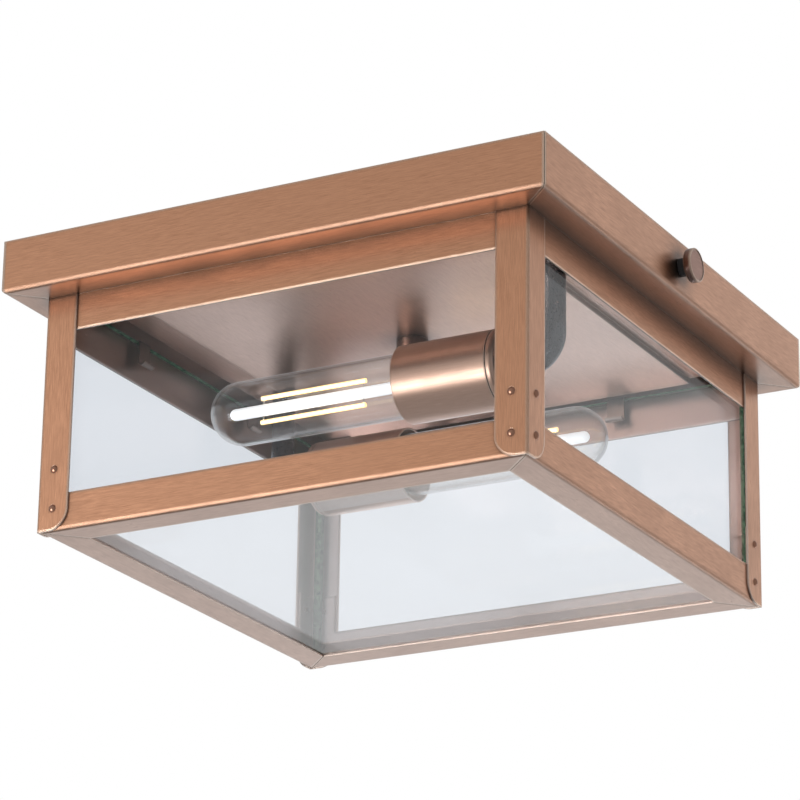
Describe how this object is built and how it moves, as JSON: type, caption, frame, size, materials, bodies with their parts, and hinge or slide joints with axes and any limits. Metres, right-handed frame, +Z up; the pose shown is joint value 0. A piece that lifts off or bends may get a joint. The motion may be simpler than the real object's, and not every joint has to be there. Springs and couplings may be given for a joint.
{
  "type": "outdoor flush mount light",
  "caption": "Square ceiling light for a porch: a flanged metal canopy over a riveted, glazed cage with tubular screw-in bulbs lying level inside.",
  "frame": {"origin": "centre of the crossbar's outlet box holes in the ceiling plane, which is the light's top face", "axes": "+Z up into the ceiling, +X out of the side with the right-hand knob, -Y out of the front pane"},
  "size_m": [0.3228, 0.3048, 0.152],
  "materials": {
    "brushed_copper": "antique brushed copper over steel sheet, satin lacquer",
    "dark_copper": "darkened copper, satin",
    "zinc_steel": "zinc plated",
    "gasket_foam": "closed-cell foam, matte",
    "seal_rubber": "moulded, satin",
    "ground_green": "green passivated screw",
    "arm_black": "gloss black",
    "socket_cream": "moulded insulator, semi-matte",
    "contact_brass": "plain stamped brass",
    "base_nickel": "nickel plated, bright",
    "contact_black": "glassy insulator with a metal button",
    "lead_black": "extruded wire insulation",
    "nut_orange": "moulded, ribbed look",
    "bulb_clear": "clear blown glass",
    "rod_white": "milky glass rod",
    "filament_amber": "coated light strip, lit",
    "pane_clear": "clear flat glass, ground edges"
  },
  "bodies": {
    "ceiling_unit": {"crossbar": "zinc_steel", "ceiling_gasket": "gasket_foam", "mounting_pan": "brushed_copper", "pan_screws": "zinc_steel", "ground_screw": "ground_green", "lamp_plate": "brushed_copper", "plate_screws": "zinc_steel", "centre_stud": "zinc_steel", "centre_nut": "zinc_steel", "centre_sleeve": "brushed_copper", "lamp_arm_right": "arm_black", "lamp_arm_left": "arm_black", "arm_nuts": "zinc_steel", "socket_cup_right": "brushed_copper", "socket_cup_left": "brushed_copper", "cup_end_caps": "brushed_copper", "socket_bodies": "socket_cream", "screw_shells": "contact_brass", "socket_contacts": "contact_brass", "lamp_leads": "lead_black", "wire_nuts": "nut_orange"},
    "cage": {"canopy_front": "brushed_copper", "canopy_right": "brushed_copper", "canopy_back": "brushed_copper", "canopy_left": "brushed_copper", "corner_gussets": "dark_copper", "top_rail_front": "brushed_copper", "top_rail_right": "brushed_copper", "top_rail_back": "brushed_copper", "top_rail_left": "brushed_copper", "bottom_rail_front": "brushed_copper", "bottom_rail_right": "brushed_copper", "bottom_rail_back": "brushed_copper", "bottom_rail_left": "brushed_copper", "post_front_right": "brushed_copper", "post_back_right": "brushed_copper", "post_back_left": "brushed_copper", "post_front_left": "brushed_copper", "glass_front": "pane_clear", "glass_right": "pane_clear", "glass_back": "pane_clear", "glass_left": "pane_clear", "bottom_glass": "pane_clear", "glass_clips": "zinc_steel", "rivets": "dark_copper", "clinch_nuts": "zinc_steel"},
    "knob_seal_right": {"knob_seal_right": "seal_rubber"},
    "knob_right": {"knob_right": "brushed_copper"},
    "bulb_contact_right": {"bulb_contact_right": "contact_black"},
    "bulb_right": {"bulb_glass_right": "bulb_clear", "bulb_base_right": "base_nickel", "bulb_stem_right": "rod_white", "bulb_filaments_right": "filament_amber"},
    "knob_seal_left": {"knob_seal_left": "seal_rubber"},
    "knob_left": {"knob_left": "brushed_copper"},
    "bulb_contact_left": {"bulb_contact_left": "contact_black"},
    "bulb_left": {"bulb_glass_left": "bulb_clear", "bulb_base_left": "base_nickel", "bulb_stem_left": "rod_white", "bulb_filaments_left": "filament_amber"}
  },
  "joints": [
    {"name": "cage_drop", "type": "slide", "parent": "ceiling_unit", "child": "cage", "axis": [0, 0, -1], "range_m": [0, 0.15]},
    {"name": "knob_travel_right", "type": "slide", "parent": "cage", "child": "knob_seal_right", "axis": [1, 0, 0], "range_m": [0, 0.0048]},
    {"name": "knob_turn_right", "type": "hinge", "parent": "knob_seal_right", "child": "knob_right", "pos_m": [0.155, 0, -0.014], "axis": [1, 0, 0], "range_deg": [0, 2161]},
    {"name": "bulb_travel_right", "type": "slide", "parent": "ceiling_unit", "child": "bulb_contact_right", "axis": [-1, 0, 0], "range_m": [0, 0.0235]},
    {"name": "bulb_turn_right", "type": "hinge", "parent": "bulb_contact_right", "child": "bulb_right", "pos_m": [0.045, -0.054, -0.074], "axis": [-1, 0, 0], "range_deg": [0, 2340]},
    {"name": "knob_travel_left", "type": "slide", "parent": "cage", "child": "knob_seal_left", "axis": [-1, 0, 0], "range_m": [0, 0.0048]},
    {"name": "knob_turn_left", "type": "hinge", "parent": "knob_seal_left", "child": "knob_left", "pos_m": [-0.155, 0, -0.014], "axis": [-1, 0, 0], "range_deg": [0, 2161]},
    {"name": "bulb_travel_left", "type": "slide", "parent": "ceiling_unit", "child": "bulb_contact_left", "axis": [1, 0, 0], "range_m": [0, 0.0235]},
    {"name": "bulb_turn_left", "type": "hinge", "parent": "bulb_contact_left", "child": "bulb_left", "pos_m": [-0.045, 0.054, -0.074], "axis": [1, 0, 0], "range_deg": [0, 2340]}
  ],
  "couplings": [
    {"joint": "knob_turn_right", "follows": "knob_travel_right", "rad_per_m": 7854},
    {"joint": "bulb_turn_right", "follows": "bulb_travel_right", "rad_per_m": 1731.4},
    {"joint": "knob_turn_left", "follows": "knob_travel_left", "rad_per_m": 7854},
    {"joint": "bulb_turn_left", "follows": "bulb_travel_left", "rad_per_m": 1731.4}
  ]
}
